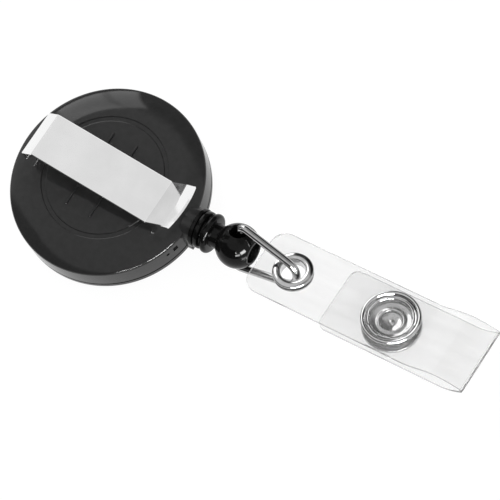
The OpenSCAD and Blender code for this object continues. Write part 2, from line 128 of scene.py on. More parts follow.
# ---------------------------------------------------------------- camera, floor and light

CAM_AZ = math.radians(57.8)
CAM_EL = math.radians(65.46)
CAM_ROLL = math.radians(29.68)
CAM_DIST = 437.7
CAM_LENS = 203.0
CAM_TARGET = (26.03, 0.34, 3.5)

FLOOR_HALF = 4
FLOOR_DROP = 0.0004
FLOOR_GREY = 0.12
FLOOR_GLOW = 0.95

TENT_WHITE = 1.02
DIM_TOP = 0.55
DIM_SIDE = 0.8
FLAG_DARK = 0.93
PANEL_GLOW = 3.6
PANEL_SEAM = 1.1


def direction(azimuth, elevation):
    """Unit vector from the object towards a viewer at that azimuth and elevation, in radians."""
    return Vector((math.sin(azimuth) * math.cos(elevation), -math.cos(azimuth) * math.cos(elevation),
                   math.sin(elevation)))


def make_camera():
    data = bpy.data.cameras.new("camera")
    data.lens = CAM_LENS
    data.sensor_width = 36
    data.clip_start = 0.01
    data.clip_end = 10
    cam = bpy.data.objects.new("camera", data)
    bpy.context.scene.collection.objects.link(cam)
    back = direction(CAM_AZ, CAM_EL)
    roll = Matrix.Rotation(-CAM_ROLL, 3, "Z").to_quaternion()
    cam.rotation_mode = "QUATERNION"
    cam.location = (Vector(CAM_TARGET) + back * CAM_DIST) * MM
    cam.rotation_quaternion = (-back).to_track_quat("-Z", "Y") @ roll
    bpy.context.scene.camera = cam


def shine_light(name, towards, distance, width, height, radiance):
    """Rectangular softbox that faces the object; radiance is its brightness, 1 being plain white.
    It shows in reflections and lights nothing else."""
    data = bpy.data.lights.new(name, "AREA")
    data.shape = "RECTANGLE"
    data.size = width * MM
    data.size_y = height * MM
    data.energy = radiance * math.pi * width * height * MM * MM
    lamp = bpy.data.objects.new(name, data)
    bpy.context.scene.collection.objects.link(lamp)
    towards = Vector(towards).normalized()
    lamp.location = (Vector(CAM_TARGET) + towards * distance) * MM
    lamp.rotation_mode = "QUATERNION"
    lamp.rotation_quaternion = towards.to_track_quat("Z", "Y")
    lamp.visible_diffuse = False


def sky_step(nt, coord, axis, lo, hi):
    """0 to 1 as the view direction's share along the axis goes from lo to hi."""
    dot = nt.nodes.new("ShaderNodeVectorMath")
    dot.operation = "DOT_PRODUCT"
    dot.inputs[1].default_value = Vector(axis).normalized()
    ramp = nt.nodes.new("ShaderNodeMapRange")
    ramp.interpolation_type = "SMOOTHSTEP"
    ramp.inputs["From Min"].default_value = lo
    ramp.inputs["From Max"].default_value = hi
    nt.links.new(coord.outputs["Generated"], dot.inputs[0])
    nt.links.new(dot.outputs["Value"], ramp.inputs["Value"])
    return ramp.outputs["Result"]


def sky_math(nt, operation, a, b):
    """One sum on two numbers or sockets."""
    node = nt.nodes.new("ShaderNodeMath")
    node.operation = operation
    for socket, value in zip(node.inputs, (a, b)):
        if isinstance(value, (int, float)):
            socket.default_value = value
        else:
            nt.links.new(value, socket)
    return node.outputs[0]


def tent_level(nt, coord):
    """White all round, dimmer overhead behind the camera and high on the far side."""
    top = sky_step(nt, coord, (0.36, 0.30, 0.90), 0.90, 0.985)
    side = sky_step(nt, coord, (0.02, 0.85, 0.53), 0.93, 0.985)
    level = sky_math(nt, "SUBTRACT", TENT_WHITE, sky_math(nt, "MULTIPLY", top, DIM_TOP))
    return sky_math(nt, "SUBTRACT", level, sky_math(nt, "MULTIPLY", side, DIM_SIDE))


def side_flag(nt, coord, axis, lo, hi, top, top_blur):
    """A dark card around a level axis, from the floor up to a height."""
    across = sky_step(nt, coord, axis, lo, hi)
    below = sky_step(nt, coord, (0, 0, -1), -top - top_blur, -top)
    return sky_math(nt, "MULTIPLY", across, below)


def dark_flags(nt, coord):
    """The two dark cards that give the bright metal its contrast."""
    above_floor = sky_step(nt, coord, (0, 0, 1), -0.08, -0.02)
    far_side = side_flag(nt, coord, (-0.17, 0.98, 0), 0.45, 0.62, 0.64, 0.20)
    near_side = side_flag(nt, coord, (-0.33, -0.94, 0), 0.45, 0.55, 0.68, 0.08)
    return sky_math(nt, "MULTIPLY", above_floor, sky_math(nt, "ADD", far_side, near_side))


def bright_panel(nt, coord):
    """The panel that the dome reflects at the upper left, with a dimmer seam down its middle."""
    panel = sky_step(nt, coord, (-0.860, -0.007, -0.511), -0.01, 0.03)
    for axis in ((-0.848, -0.530, 0), (0.454, 0.891, 0)):
        panel = sky_math(nt, "MULTIPLY", panel, sky_step(nt, coord, axis, -0.02, 0.02))
    panel = sky_math(nt, "MULTIPLY", panel, sky_step(nt, coord, (0, 0, 1), 0.10, 0.16))
    seam = sky_math(nt, "MULTIPLY", sky_step(nt, coord, (-0.725, -0.688, 0), -0.005, 0.005),
                    sky_step(nt, coord, (0.688, 0.725, 0), -0.005, 0.005))
    glow = sky_math(nt, "SUBTRACT", PANEL_GLOW, sky_math(nt, "MULTIPLY", seam, PANEL_SEAM))
    return sky_math(nt, "MULTIPLY", panel, glow)


def make_world():
    world = bpy.data.worlds.new("studio")
    bpy.context.scene.world = world
    world.use_nodes = True
    nt = world.node_tree
    nt.nodes.clear()
    out = nt.nodes.new("ShaderNodeOutputWorld")
    bg = nt.nodes.new("ShaderNodeBackground")
    coord = nt.nodes.new("ShaderNodeTexCoord")
    kept = sky_math(nt, "SUBTRACT", 1.0, sky_math(nt, "MULTIPLY", dark_flags(nt, coord), FLAG_DARK))
    level = sky_math(nt, "MULTIPLY", tent_level(nt, coord), kept)
    level = sky_math(nt, "ADD", level, bright_panel(nt, coord))
    nt.links.new(level, bg.inputs["Strength"])
    nt.links.new(bg.outputs[0], out.inputs[0])


def make_floor():
    size = FLOOR_HALF
    z = START[0][2] - FLOOR_DROP
    corners = [(-size, -size, z), (size, -size, z), (size, size, z), (-size, size, z)]
    mesh = bpy.data.meshes.new("floor")
    mesh.from_pydata(corners, [], [(0, 1, 2, 3)])
    floor = bpy.data.objects.new("floor", mesh)
    bpy.context.scene.collection.objects.link(floor)
    mat, nt, shader = new_material("floor_white")
    shader.inputs["Base Color"].default_value = (*grey(FLOOR_GREY), 1)
    shader.inputs["Roughness"].default_value = 0.9
    shader.inputs["Specular IOR Level"].default_value = 0.0
    shader.inputs["Emission Color"].default_value = (1, 1, 1, 1)
    shader.inputs["Emission Strength"].default_value = FLOOR_GLOW
    mesh.materials.append(mat)


def make_lights():
    """Three softboxes for the highlights, shown with the plain tone curve."""
    shine_light("rim_light", (0.52, -0.79, 0.33), 400, 150, 60, 34.0)
    shine_light("side_light", (0.82, -0.40, 0.41), 400, 180, 100, 60.0)
    shine_light("flash", (0.388, -0.743, 0.545), 450, 30, 30, 120.0)
    bpy.context.scene.view_settings.view_transform = "Standard"


# ---------------------------------------------------------------- mesh helpers

SHARP_ANGLE = 35


def add_object(name, verts, faces, matrix=None, body=None, smooth=SHARP_ANGLE):
    """A mesh from millimetre points, placed by the matrix and riding on the body."""
    mesh = bpy.data.meshes.new(name)
    mesh.from_pydata([tuple(v) for v in verts], [], faces)
    mesh.validate()
    obj = bpy.data.objects.new(name, mesh)
    bpy.context.scene.collection.objects.link(obj)
    mesh.transform(Matrix.Scale(MM, 4) @ (matrix or Matrix.Identity(4)))
    finish_mesh(obj, smooth)
    if body:
        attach(obj, body)
    return obj


def finish_mesh(obj, smooth=SHARP_ANGLE):
    """Outward normals, and smooth shading with edges sharper than the angle kept."""
    bm = bmesh.new()
    bm.from_mesh(obj.data)
    bmesh.ops.recalc_face_normals(bm, faces=bm.faces)
    for f in bm.faces:
        f.smooth = True
    bm.to_mesh(obj.data)
    bm.free()
    obj.data.set_sharp_from_angle(angle=math.radians(smooth))


def arc(cx, cy, r, a0, a1, n):
    """Points on an arc, angles in degrees."""
    return [(cx + r * math.cos(math.radians(a0 + (a1 - a0) * i / n)),
             cy + r * math.sin(math.radians(a0 + (a1 - a0) * i / n))) for i in range(n + 1)]


def lathe(name, profile, matrix=None, body=None, segments=128, smooth=SHARP_ANGLE):
    """Turns a closed (r, z) profile about Z. Points on the axis become poles."""
    verts = []
    rows = []
    for r, z in profile:
        if r < 1e-6:
            rows.append([len(verts)])
            verts.append((0, 0, z))
        else:
            rows.append(list(range(len(verts), len(verts) + segments)))
            verts += [(r * math.cos(2 * math.pi * i / segments), r * math.sin(2 * math.pi * i / segments), z)
                      for i in range(segments)]
    faces = []
    for a, b in zip(rows, rows[1:] + rows[:1]):
        for i in range(segments):
            j = (i + 1) % segments
            if len(a) == 1 and len(b) == 1:
                continue
            if len(a) == 1:
                faces.append((a[0], b[i], b[j]))
            elif len(b) == 1:
                faces.append((a[i], a[j], b[0]))
            else:
                faces.append((a[i], a[j], b[j], b[i]))
    return add_object(name, verts, faces, matrix, body, smooth)


def rod_cutter(r, z0, z1, matrix=None, segments=64):
    """Round cutter along its own Z."""
    return lathe("cutter", [(0, z0), (r, z0), (r, z1), (0, z1)], matrix, None, segments)


def tube_faces(rings, sides):
    """Faces between rings of points that follow each other."""
    faces = []
    for i in range(rings - 1):
        for k in range(sides):
            m = (k + 1) % sides
            faces.append((i * sides + k, i * sides + m, (i + 1) * sides + m, (i + 1) * sides + k))
    return faces


def tube(name, points, radius, matrix=None, body=None, sides=20):
    """Round wire along points, with flat ends."""
    pts = [Vector(p) for p in points]
    normal = None
    verts = []
    for i, p in enumerate(pts):
        t = (pts[min(i + 1, len(pts) - 1)] - pts[max(i - 1, 0)]).normalized()
        if normal is None:
            normal = t.orthogonal().normalized()
        normal = (normal - t * normal.dot(t)).normalized()
        side = t.cross(normal)
        for k in range(sides):
            a = 2 * math.pi * k / sides
            verts.append(p + (normal * math.cos(a) + side * math.sin(a)) * radius)
    faces = tube_faces(len(pts), sides)
    faces.append(tuple(range(sides))[::-1])
    faces.append(tuple(range((len(pts) - 1) * sides, len(pts) * sides)))
    return add_object(name, verts, faces, matrix, body, 50)


def rounded_path(corners, radii, steps):
    """A polyline with its inner corners rounded by arcs."""
    out = [Vector(corners[0])]
    for i in range(1, len(corners) - 1):
        p = Vector(corners[i])
        u = (Vector(corners[i - 1]) - p).normalized()
        v = (Vector(corners[i + 1]) - p).normalized()
        half = u.angle(v) / 2
        radius = radii[i - 1]
        back = radius / math.tan(half)
        mid = p + (u + v).normalized() * (radius / math.sin(half))
        start = p + u * back
        end = p + v * back
        for k in range(steps + 1):
            out.append(mid + (start - mid).lerp(end - mid, k / steps).normalized() * radius)
    out.append(Vector(corners[-1]))
    return out


def strip(name, path, half_width, thick, matrix, across, rim):
    """A sheet of even thickness along a path of (x, z) points. half_width(i, s, total) gives both sides at
    point i, s being the length run so far. rim is how far the long edges are rounded off."""
    pts = [Vector((p[0], 0, p[1])) for p in path]
    run = [0.0]
    for a, b in zip(pts, pts[1:]):
        run.append(run[-1] + (b - a).length)
    verts = []
    for i, p in enumerate(pts):
        t = (pts[min(i + 1, len(pts) - 1)] - pts[max(i - 1, 0)]).normalized()
        n = Vector((-t.z, 0, t.x))
        lo_y, hi_y = half_width(i, run[i], run[-1])
        inner = [lo_y + rim + (hi_y - lo_y - 2 * rim) * k / across for k in range(across + 1)]
        rows = [(lo_y, rim)] + [(y, 0) for y in inner] + [(hi_y, rim)]
        verts += [p + n * (thick / 2 - drop) + Vector((0, y, 0)) for y, drop in rows]
        verts += [p - n * (thick / 2 - drop) + Vector((0, y, 0)) for y, drop in rows[::-1]]
    ring = 2 * (across + 3)
    faces = tube_faces(len(pts), ring)
    for base in (0, (len(pts) - 1) * ring):
        for k in range(ring // 2 - 1):
            faces.append((base + k, base + k + 1, base + ring - 2 - k, base + ring - 1 - k))
    return add_object(name, verts, faces, matrix, None, 40)


def combine(obj, operation, others):
    """Boolean of obj with each of the others, which it uses up."""
    for other in others:
        mod = obj.modifiers.new("combine", "BOOLEAN")
        mod.operation = operation
        mod.solver = "EXACT"
        mod.object = other
        bpy.context.view_layer.update()
        graph = bpy.context.evaluated_depsgraph_get()
        mesh = bpy.data.meshes.new_from_object(obj.evaluated_get(graph))
        obj.modifiers.clear()
        obj.data = mesh
        bpy.data.objects.remove(other)
    finish_mesh(obj)


def cut(obj, *cutters):
    combine(obj, "DIFFERENCE", cutters)


def join(obj, *others):
    combine(obj, "UNION", others)


def block(name, lo, hi, matrix=None, bevel=0.0, segments=4):
    """Box between two corners with rounded edges."""
    bm = bmesh.new()
    bmesh.ops.create_cube(bm, size=1)
    for v in bm.verts:
        v.co = [lo[i] + (v.co[i] + 0.5) * (hi[i] - lo[i]) for i in range(3)]
    if bevel:
        bmesh.ops.bevel(bm, geom=list(bm.edges), offset=bevel, segments=segments, affect="EDGES", profile=0.5)
    bm.verts.index_update()
    verts = [tuple(v.co) for v in bm.verts]
    faces = [tuple(v.index for v in f.verts) for f in bm.faces]
    bm.free()
    return add_object(name, verts, faces, matrix)


# ---------------------------------------------------------------- materials


def new_material(name):
    mat = bpy.data.materials.new(name)
    mat.use_nodes = True
    return mat, mat.node_tree, mat.node_tree.nodes["Principled BSDF"]


def noise(nt, scale, detail, stretch=None):
    """A noise value on object coordinates, stretched along the clip's axes if asked."""
    coord = nt.nodes.new("ShaderNodeTexCoord")
    tex = nt.nodes.new("ShaderNodeTexNoise")
    tex.inputs["Scale"].default_value = scale
    tex.inputs["Detail"].default_value = detail
    source = coord.outputs["Object"]
    if stretch:
        mapping = nt.nodes.new("ShaderNodeMapping")
        mapping.inputs["Scale"].default_value = stretch
        mapping.inputs["Rotation"].default_value = (0, 0, CLIP_TURN)
        nt.links.new(source, mapping.inputs["Vector"])
        source = mapping.outputs["Vector"]
    nt.links.new(source, tex.inputs["Vector"])
    return tex.outputs["Fac"]


def spread(nt, value, lo, hi):
    """Maps a noise value to lo..hi."""
    node = nt.nodes.new("ShaderNodeMapRange")
    node.inputs["From Min"].default_value = 0.3
    node.inputs["From Max"].default_value = 0.7
    node.inputs["To Min"].default_value = lo
    node.inputs["To Max"].default_value = hi
    nt.links.new(value, node.inputs["Value"])
    return node.outputs["Result"]


def mixed(nt, value, a, b):
    """Colour between a and b, by a value from 0 to 1."""
    node = nt.nodes.new("ShaderNodeMix")
    node.data_type = "RGBA"
    node.inputs["A"].default_value = (*a, 1)
    node.inputs["B"].default_value = (*b, 1)
    nt.links.new(value, node.inputs["Factor"])
    return node.outputs["Result"]


def grey(v):
    return (v, v, v)


def varied(name, a, b, rough, scale, metallic=0.0, specular=0.5, ior=1.5):
    """A plain surface whose colour and roughness vary a little."""
    mat, nt, shader = new_material(name)
    value = noise(nt, scale, 4.0)
    nt.links.new(mixed(nt, spread(nt, value, 0, 1), a, b), shader.inputs["Base Color"])
    nt.links.new(spread(nt, value, *rough), shader.inputs["Roughness"])
    shader.inputs["Metallic"].default_value = metallic
    shader.inputs["Specular IOR Level"].default_value = specular
    shader.inputs["IOR"].default_value = ior
    return mat


def clear(name, a, b, value_scale, stretch, rough, transmission, ior):
    """Vinyl that lets light through, its tint varying from a to b."""
    mat, nt, shader = new_material(name)
    value = noise(nt, value_scale, 2.0, stretch)
    nt.links.new(mixed(nt, spread(nt, value, 0, 1), a, b), shader.inputs["Base Color"])
    shader.inputs["Roughness"].default_value = rough
    shader.inputs["Transmission Weight"].default_value = transmission
    shader.inputs["IOR"].default_value = ior
    return mat


def make_materials():
    m = {}
    m["case_plastic"] = varied("case_plastic", grey(0.032), grey(0.038), (0.07, 0.11), 900, specular=0.22)
    m["fitting_plastic"] = varied("fitting_plastic", grey(0.006), grey(0.009), (0.06, 0.1), 1200, ior=1.24)
    m["inner_plastic"] = varied("inner_plastic", grey(0.72), grey(0.78), (0.4, 0.5), 600)
    m["clip_steel"] = varied("clip_steel", grey(0.84), grey(0.93), (0.07, 0.12), 140, 1.0)
    m["wire_steel"] = varied("wire_steel", grey(0.42), grey(0.5), (0.06, 0.1), 1500, 1.0)
    m["snap_metal"] = varied("snap_metal", grey(0.5), grey(0.6), (0.08, 0.12), 1500, 1.0)
    m["spring_steel"] = varied("spring_steel", (0.36, 0.38, 0.44), (0.44, 0.46, 0.52), (0.25, 0.35), 900, 1.0)
    m["cord_nylon"] = varied("cord_nylon", grey(0.012), grey(0.03), (0.6, 0.8), 3000)
    m["clear_vinyl"] = clear("clear_vinyl", grey(0.915), grey(0.955), 260, (0.3, 3.0, 1), 0.05, 0.92, 1.2)
    # Painted shade: a darker, less clear tint for the strap's cut edges, standing in for light bending through
    # the vinyl there.
    m["vinyl_edge_shade"] = clear("vinyl_edge_shade", grey(0.5), grey(0.62), 500, None, 0.12, 0.6, 1.3)
    return m


def dress(obj, slot_name):
    """Gives obj the slot's finish."""
    obj.data.materials.clear()
    obj.data.materials.append(MATS[slot_name])


# ---------------------------------------------------------------- case

RIM_ROUND = 0.55
DOME_RUN = 5.0
DOME_DROP = CASE_H - RIM_H
DOME_R = (DOME_RUN ** 2 + DOME_DROP ** 2) / (2 * DOME_DROP)
DOME_Z = CASE_H - DOME_R
RIM_CZ = DOME_Z + math.sqrt((DOME_R - RIM_ROUND) ** 2 - (CASE_R - RIM_ROUND - FLAT_R) ** 2)
RIM_A = math.degrees(math.atan2(RIM_CZ - DOME_Z, CASE_R - RIM_ROUND - FLAT_R))

SEAM_GAP = 0.02
SEAM_H = 0.32
SEAM_DEEP = 0.15
GROOVE_R0 = 9.7
GROOVE_R1 = 10.35
GROOVE_DEEP = 0.2
GROOVE_SOFT = 0.12

FRONT_EDGE = 0.8
LABEL_R = 11.0
LABEL_LINE = 0.4
LABEL_DEEP = 0.2
LIP_TOP = 2.5
LIP_T = 0.5
POST_R = 1.9
POST_TOP = 5.0
POST_SLOT_Z = 2.3

OUTLET_X0 = 14.95
OUTLET_X1 = 16.7
OUTLET_R = 2.9
OUTLET_SOFT = 0.12
OUTLET_FOOT = 0.5
BORE_X0 = 13.6
BORE_R = 1.62
RIVET_HOLE_R = 1.02

WINDOW_TURN = math.radians(-17)
PIT_TURN = math.radians(-22.5)
MARK_DEEP = 0.25
PIT_R = 0.3

RIB_MID_X = -0.6
RIB_STEP = 2.32
RIB_Y0 = 3.2
RIB_Y1 = 6.9
RIB_HALF = 0.18
RIB_H = 0.3


def ring_groove(r0, r1, deep, soft):
    """Points of a soft-edged groove in the flat back, from the outside in."""
    z = CASE_H
    outer = [(r1 + 2 * soft, z), (r1 + soft, z), (r1 + soft * 0.4, z - deep * 0.25), (r1, z - deep)]
    inner = [(r0, z - deep), (r0 - soft * 0.4, z - deep * 0.25), (r0 - soft, z), (r0 - 2 * soft, z)]
    return outer + inner + [(r0 - 4 * soft, z)]


def back_profile():
    """Side view of the back shell: wall, rim, dome, flat with its ring line, and the inside."""
    inner = DOME_R - WALL
    inner_r = CASE_R - WALL
    inner_z = DOME_Z + math.sqrt(inner ** 2 - (inner_r - FLAT_R) ** 2)
    inner_a = math.degrees(math.atan2(inner_z - DOME_Z, inner_r - FLAT_R))
    out = [(inner_r, SEAM_Z + SEAM_GAP), (CASE_R, SEAM_Z + SEAM_GAP)]
    out += arc(CASE_R - RIM_ROUND, RIM_CZ, RIM_ROUND, 0, RIM_A, 10)
    out += arc(FLAT_R, DOME_Z, DOME_R, RIM_A, 90, 40)[1:]
    out += ring_groove(GROOVE_R0, GROOVE_R1, GROOVE_DEEP, GROOVE_SOFT)
    out += [(0, CASE_H), (0, CASE_H - WALL)]
    out += arc(FLAT_R, DOME_Z, inner, 90, inner_a, 16)
    return out


def front_profile():
    """Side view of the front shell: face with its label line, seam, inner lip, floor and post."""
    inner_r = CASE_R - WALL - SEAM_GAP
    line = LABEL_R - LABEL_LINE
    seam_r = CASE_R - SEAM_DEEP
    out = [(0, 0), (line, 0), (line, LABEL_DEEP), (LABEL_R, LABEL_DEEP), (LABEL_R, 0)]
    out += arc(CASE_R - FRONT_EDGE, FRONT_EDGE, FRONT_EDGE, -90, 0, 14)
    out += [(CASE_R, SEAM_Z - SEAM_H), (seam_r, SEAM_Z - SEAM_H), (seam_r, SEAM_Z)]
    out += [(inner_r, SEAM_Z), (inner_r, LIP_TOP), (inner_r - LIP_T, LIP_TOP), (inner_r - LIP_T, WALL)]
    out += [(POST_R, WALL), (POST_R, POST_TOP), (0, POST_TOP)]
    return out


def outlet_arch():
    """Upper half of the cord outlet block: round over the cord, straight down to the seam."""
    outline = [(-OUTLET_R, SEAM_Z + SEAM_GAP), (OUTLET_R, SEAM_Z + SEAM_GAP)]
    outline += arc(0, CORD_Z, OUTLET_R, 0, 180, 32)
    soft = OUTLET_SOFT
    rows = [(OUTLET_X0, 0), (OUTLET_X1 - soft, 0), (OUTLET_X1 - 0.3 * soft, 0.3 * soft), (OUTLET_X1, soft)]
    verts = []
    for x, inset in rows:
        shrink = 1 - inset / OUTLET_R
        verts += [(x, y * shrink, CORD_Z + (z - CORD_Z) * shrink) for y, z in outline]
    n = len(outline)
    last = (len(rows) - 1) * n
    faces = [tuple(range(n))[::-1], tuple(range(last, last + n))]
    faces += tube_faces(len(rows), n)
    return add_object("outlet_upper", verts, faces)


def bore_cutter():
    return rod_cutter(BORE_R, BORE_X0, OUTLET_X1 + 0.1, CORD_FRAME)


def rivet_cutter(z0):
    return rod_cutter(RIVET_HOLE_R, z0, CASE_H + 0.94, None, 48)


def side_mark_cutters():
    """A small window and a round pit in the side wall, beside the cord outlet."""
    window = Matrix.Rotation(WINDOW_TURN, 4, "Z") @ Matrix.Translation((CASE_R, 0, CORD_Z))
    pit = Matrix.Rotation(PIT_TURN, 4, "Z") @ CORD_FRAME
    return [block("cutter", (-MARK_DEEP, -0.45, -0.55), (1, 0.45, 0.55), window),
            rod_cutter(PIT_R, CASE_R - MARK_DEEP, CASE_R + 1, pit, 32)]


def make_ribs():
    """Two short raised ribs on each side of the clip, which keep it from turning."""
    ribs = []
    for sx in (-1, 1):
        for sy in (-1, 1):
            y0, y1 = sorted((sy * RIB_Y0, sy * RIB_Y1))
            x = RIB_MID_X + sx * RIB_STEP
            ribs.append(block("rib", (x - RIB_HALF, y0, CASE_H - 0.2), (x + RIB_HALF, y1, CASE_H + RIB_H),
                              CLIP_FRAME, 0.16, 5))
    return ribs


def make_back():
    obj = lathe("case_back", back_profile(), None, None, 192, 40)
    join(obj, outlet_arch())
    join(obj, *make_ribs())
    cut(obj, bore_cutter(), rivet_cutter(5))
    cut(obj, *side_mark_cutters())
    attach(obj, "case")
    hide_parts("back_shell")
    dress(obj, "case_plastic")


def make_front():
    obj = lathe("case_front", front_profile(), None, None, 192, 40)
    join(obj, block("outlet_lower", (OUTLET_X0, -OUTLET_R, OUTLET_FOOT), (OUTLET_X1, OUTLET_R, SEAM_Z),
                    None, OUTLET_SOFT, 3))
    slot = block("cutter", (-2, -0.25, POST_SLOT_Z), (2, 0.25, POST_TOP + 0.5))
    cut(obj, bore_cutter(), slot)
    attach(obj, "case")
    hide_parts("front_shell")
    dress(obj, "case_plastic")


def make_bush():
    """Flanged ring in the cord outlet."""
    hole = 0.6
    stem = 1.6
    flange = 3.2
    seat = OUTLET_X1 + 0.05
    profile = [(hole, BUSH_X0 + 1.2), (stem - 0.2, BUSH_X0), (stem, BUSH_X0), (stem, seat)]
    profile += [(flange - 0.12, seat), (flange, seat + 0.12), (flange, BUSH_X1 - 0.2)]
    profile += [(flange - 0.06, BUSH_X1 - 0.06), (flange - 0.2, BUSH_X1), (hole, BUSH_X1)]
    obj = lathe("outlet_ring", profile, CORD_FRAME, "case", 96)
    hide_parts("outlet_bush")
    dress(obj, "fitting_plastic")


# ---------------------------------------------------------------- belt clip

CLIP_FRONT_X = 6
CLIP_BACK_X = -12.6
CLIP_BEND_X = 11.5
CLIP_TIP_X = 17.9
CLIP_NECK_X = -12.3
BACK_Z0 = CASE_H + 1.3
BACK_Z1 = CASE_H + 3.2
TONGUE_W = 5
CLIP_EDGE = 0.11
LIP_X0 = 12.4
LIP_END_R = 8.5
LIP_SLOPE = Vector((6.4, 0, 5.7)).normalized()


def clip_path():
    """Side line of the clip: tongue, fold, leaf and turned-up lip, in steps of at most 1 mm."""
    z = CASE_H + CLIP_T / 2
    corners = [(CLIP_FRONT_X, z), (-11.5, z), (CLIP_BACK_X, BACK_Z0), (CLIP_BACK_X, BACK_Z1),
               (-10, CASE_H + 5.4), (CLIP_BEND_X, CASE_H + 2.9), (16.0, CASE_H + 6.9),
               (CLIP_TIP_X, CASE_H + 8.3)]
    pts = rounded_path([Vector(c) for c in corners], [0.6, 0.5, 0.5, 0.35, 0.5, 6], 6)
    out = []
    for a, b in zip(pts, pts[1:]):
        n = max(1, int((b - a).length))
        out += [a + (b - a) * k / n for k in range(n)]
    return out + [pts[-1]]


def round_lip(obj):
    """Pulls the lip's free edge back along the strip, so that it ends in an arc."""
    inverse = CLIP_FRAME.inverted()
    for v in obj.data.vertices:
        p = inverse @ (v.co / MM)
        if p.x > LIP_X0:
            share = (p.x - LIP_X0) / (CLIP_TIP_X - LIP_X0)
            back = LIP_END_R - math.sqrt(LIP_END_R ** 2 - p.y ** 2)
            p -= LIP_SLOPE * back * share
            v.co = (CLIP_FRAME @ p) * MM


def make_clip():
    path = clip_path()
    neck = next(i for i, p in enumerate(path) if p[0] < CLIP_NECK_X)

    def half(i, s, total):
        w = TONGUE_W / 2 if i < neck else CLIP_W / 2
        return -w, w

    obj = strip("belt_clip", path, half, CLIP_T, CLIP_FRAME, 12, CLIP_EDGE)
    round_lip(obj)
    cut(obj, rivet_cutter(6))
    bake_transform(obj)
    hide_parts("clip_base", "clip_leaf")
    dress(obj, "clip_steel")


# ---------------------------------------------------------------- fitting, link and cord

BALL_R = 3.6
NECK_R = 2.0
GROOVE_R = 2.4
DISH_R = 2.9
CORD_HOLE_R = 0.55
CROSS_R = 1.3
CROSS_MOUTH_R = 1.75

WIRE_R = 0.65
LEAN_DEG = 14.5
LINK_BEND = 0.9
LINK_HALF = 3.6
LINK_LENGTH = 10.8

CORD_R = 0.4


def fitting_profile():
    """Side view of the end fitting: flange, groove, round bead, neck and ball with a dished end."""
    base = FIT_X0
    ball = BALL_X
    out = [(CORD_HOLE_R, base), (2.9, base), (3.06, base + 0.06), (3.1, base + 0.2), (3.1, base + 0.6)]
    out += [(3.06, base + 0.74), (2.9, base + 0.8), (2.45, base + 0.85)]
    out += [(GROOVE_R, base + 0.95), (GROOVE_R, base + 1.2)]
    out += [(2.8 + 0.5 * math.sin(math.radians(a)), base + 1.825 - 0.575 * math.cos(math.radians(a)))
            for a in range(0, 181, 18)]
    out += [(2.05, base + 2.45), (NECK_R, base + 2.6)]
    start = 180 - math.degrees(math.asin(NECK_R / BALL_R))
    end = math.degrees(math.acos(DISH_R / BALL_R))
    out += [(y, x) for x, y in arc(ball, 0, BALL_R, start, end, 40)]
    out += [(1.8, ball + 2.9), (1.68, ball + 2.8), (1.6, ball + 2.5), (1.5, ball + 2.1), (0, ball + 1.95)]
    out += [(0, ball), (CORD_HOLE_R, ball)]
    return out


def make_fitting():
    obj = lathe("end_ball", fitting_profile(), CORD_FRAME, None, 96, 30)
    along = HOLE_FRAME @ Matrix.Rotation(math.radians(-90), 4, "X")
    half = [(CROSS_R, 3.05), (CROSS_MOUTH_R, BALL_R), (CROSS_MOUTH_R, BALL_R + 0.2), (0, BALL_R + 0.2)]
    hole = [(r, -z) for r, z in half[::-1]] + half
    cut(obj, lathe("cutter", hole, along, None, 64))
    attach(obj, "fitting")
    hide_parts("end_fitting")
    dress(obj, "fitting_plastic")


def link_points():
    """Centre line of the wire: out of one hole end, round the apex and into the other."""
    lean = math.radians(LEAN_DEG)
    bx = LINK_BEND + LINK_BEND * math.sin(lean)
    by = LINK_HALF + LINK_BEND * math.cos(lean)
    run = math.sin(lean) * bx + math.cos(lean) * by
    apex_r = (run - math.sin(lean) * LINK_LENGTH) / (1 - math.sin(lean))
    half = [(0, 2.1), (0, 3.0)] + arc(LINK_BEND, LINK_HALF, LINK_BEND, 180, 90 - LEAN_DEG, 12)
    half += arc(LINK_LENGTH - apex_r, 0, apex_r, 90 - LEAN_DEG, 0, 16)
    other = [(x, -y) for x, y in half[:-1]]
    return [(x, y, 0) for x, y in half + other[::-1]]


def make_link():
    obj = tube("steel_link", link_points(), WIRE_R, LINK_FRAME, "link", 28)
    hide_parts("wire_link")
    dress(obj, "wire_steel")


def make_cord():
    """The cord from the winding to the knot. It runs between the case and the cord's end."""
    start = Vector((low("cord_inner_lead")[0] + 0.3, high("cord_inner_lead")[1] - 0.3,
                    low("cord_inner_lead")[2] + 0.4))
    bend = Vector((14.8, 0, CORD_Z))
    gap0 = BUSH_X1 - 0.02
    gap1 = FIT_X0 - 0.01
    pts = [start + (bend - start) * k / 6 for k in range(6)]
    pts += [bend, Vector((BUSH_X1 - 0.05, 0, CORD_Z))]
    pts += [Vector((gap0 + (gap1 - gap0) * k / 16, 0, CORD_Z)) for k in range(17)]
    pts += [Vector((x, 0, CORD_Z)) for x in (18.5, 20, 22, BALL_X - 0.95)]
    obj = tube("nylon_cord", pts, CORD_R, None, None, 16)
    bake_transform(obj)
    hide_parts("cord_inner_lead", "cord_tail")
    dress(obj, "cord_nylon")


# ---------------------------------------------------------------- strap

CORNER = 2.5
FLAP_CORNER = 1.4
FOLD_X = 66.7
BOW_X0 = SNAP_X + 4.9
BOW_X1 = 62.8
BOW_H = 1.2
BOW_STEPS = 14
FLAP_X1 = 63.4
CREASE_R = 0.45
CREASE_N = 0.15
CREASE_UP = 76
CREASE_DOWN = -61
EYELET_HOLE_R = 2.27


def strap_half(i, s, total):
    """Half width at length s, with both ends' corners rounded."""
    w = STRAP_W / 2
    for near, r in ((s, CORNER), (total - s, FLAP_CORNER)):
        if near < r:
            w -= r - math.sqrt(max(r ** 2 - (r - near) ** 2, 0))
    return -w, w


def level_run(x0, x1, n, count):
    """Even points along a level stretch of the strap, without its first one."""
    return [(x0 + (x1 - x0) * k / count, n) for k in range(1, count + 1)]


